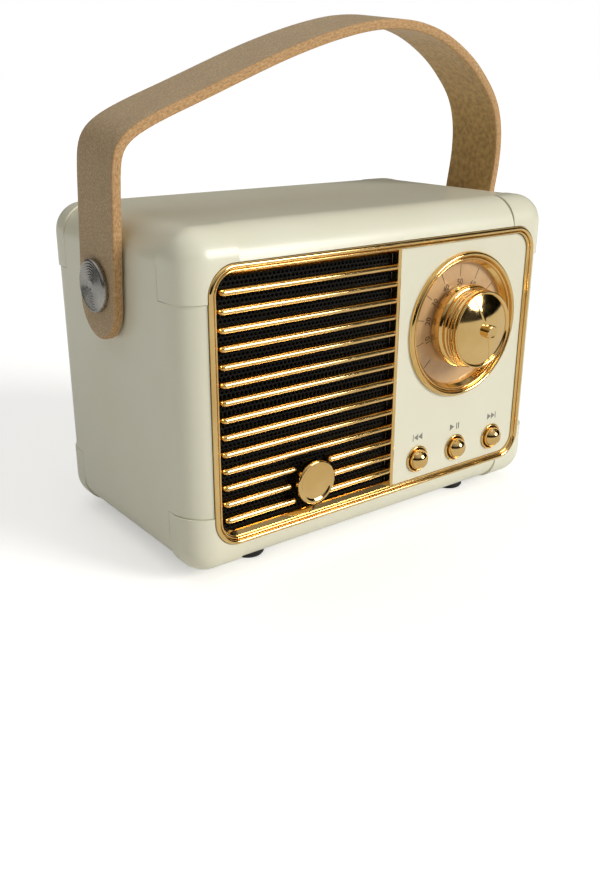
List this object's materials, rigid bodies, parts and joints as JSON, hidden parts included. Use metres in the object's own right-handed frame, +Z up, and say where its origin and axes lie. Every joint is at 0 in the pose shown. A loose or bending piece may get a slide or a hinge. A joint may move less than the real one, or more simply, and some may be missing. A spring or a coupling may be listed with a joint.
{
  "type": "tabletop radio",
  "caption": "Small retro tabletop radio: rounded cream cabinet, gold barred grille, dial with a turning knob, push buttons and a leather carrying strap that swings.",
  "frame": {"origin": "on the surface the feet stand on, under the middle of the whole object's box", "axes": "+X to the right seen from the front, +Y from the front to the rear, +Z up"},
  "size_m": [0.0928, 0.0576, 0.0945],
  "materials": {
    "cream_plastic": "satin moulded",
    "gold_metal": "polished gold-tone",
    "black_mesh": "matt black, perforated",
    "dial_card": "printed, satin",
    "strap_leather": "smooth outer face, raw inner face",
    "polished_steel": "turned and polished",
    "brass": "plain",
    "black_rubber": "matt",
    "steel": "plain",
    "foam_rubber": "matt",
    "magnet_ferrite": "ground",
    "coil_copper": "enamelled wire",
    "speaker_paper": "matt black",
    "circuit_board": "solder mask",
    "black_plastic": "moulded",
    "battery_foil": "laminated foil",
    "lead_insulation": "sleeve",
    "clear_plastic": "clear"
  },
  "bodies": {
    "cabinet": {"battery_cell": "battery_foil", "battery_pad": "foam_rubber", "board_screws": "steel", "button_board": "circuit_board", "button_rings": "gold_metal", "cabinet_shell": "cream_plastic", "card_socket": "steel", "charge_light": "clear_plastic", "control_panel": "cream_plastic", "corner_guard_front_bottom_left": "cream_plastic", "corner_guard_front_bottom_right": "cream_plastic", "corner_guard_front_top_left": "cream_plastic", "corner_guard_front_top_right": "cream_plastic", "corner_guard_rear_bottom_left": "cream_plastic", "corner_guard_rear_bottom_right": "cream_plastic", "corner_guard_rear_top_left": "cream_plastic", "corner_guard_rear_top_right": "cream_plastic", "dial_plate": "dial_card", "dial_ring": "gold_metal", "foot_front_left": "black_rubber", "foot_front_right": "black_rubber", "foot_rear_left": "black_rubber", "foot_rear_right": "black_rubber", "grille_badge": "gold_metal", "grille_frame": "gold_metal", "grille_mesh": "black_mesh", "internal_leads": "lead_insulation", "main_board": "circuit_board", "main_chips": "black_plastic", "rear_cover": "cream_plastic", "rear_cover_screws": "steel", "speaker_basket": "steel", "speaker_cone": "speaker_paper", "speaker_dust_cap": "speaker_paper", "speaker_gasket": "foam_rubber", "speaker_magnet": "magnet_ferrite", "speaker_screws": "steel", "speaker_surround": "foam_rubber", "speaker_voice_coil": "coil_copper", "speaker_yoke": "steel", "strap_inserts": "brass", "strap_screw_left": "polished_steel", "strap_screw_right": "polished_steel", "strap_washer_left": "polished_steel", "strap_washer_right": "polished_steel", "switch_bodies": "black_plastic", "usb_socket": "steel", "volume_bushing": "brass", "volume_case": "steel", "volume_nut": "brass", "volume_washer": "steel"},
    "volume_knob": {"volume_knob": "gold_metal", "volume_shaft": "steel"},
    "strap": {"carry_strap": "strap_leather"},
    "previous_button": {"previous_button": "gold_metal", "previous_switch_plunger": "black_plastic"},
    "play_button": {"play_button": "gold_metal", "play_switch_plunger": "black_plastic"},
    "next_button": {"next_button": "gold_metal", "next_switch_plunger": "black_plastic"}
  },
  "joints": [
    {"name": "volume_turn", "type": "hinge", "parent": "cabinet", "child": "volume_knob", "pos_m": [0.01975, -0.01975, 0.0383], "axis": [0, 1, 0], "range_deg": [-110, 154]},
    {"name": "strap_swing", "type": "hinge", "parent": "cabinet", "child": "strap", "pos_m": [0, 0.00375, 0.0499], "axis": [1, 0, 0], "range_deg": [-101, 89]},
    {"name": "previous_press", "type": "slide", "parent": "cabinet", "child": "previous_button", "axis": [0, 1, 0], "range_m": [0, 0.0005], "stiffness_N_per_m": 1000},
    {"name": "play_press", "type": "slide", "parent": "cabinet", "child": "play_button", "axis": [0, 1, 0], "range_m": [0, 0.0005], "stiffness_N_per_m": 1000},
    {"name": "next_press", "type": "slide", "parent": "cabinet", "child": "next_button", "axis": [0, 1, 0], "range_m": [0, 0.0005], "stiffness_N_per_m": 1000}
  ]
}
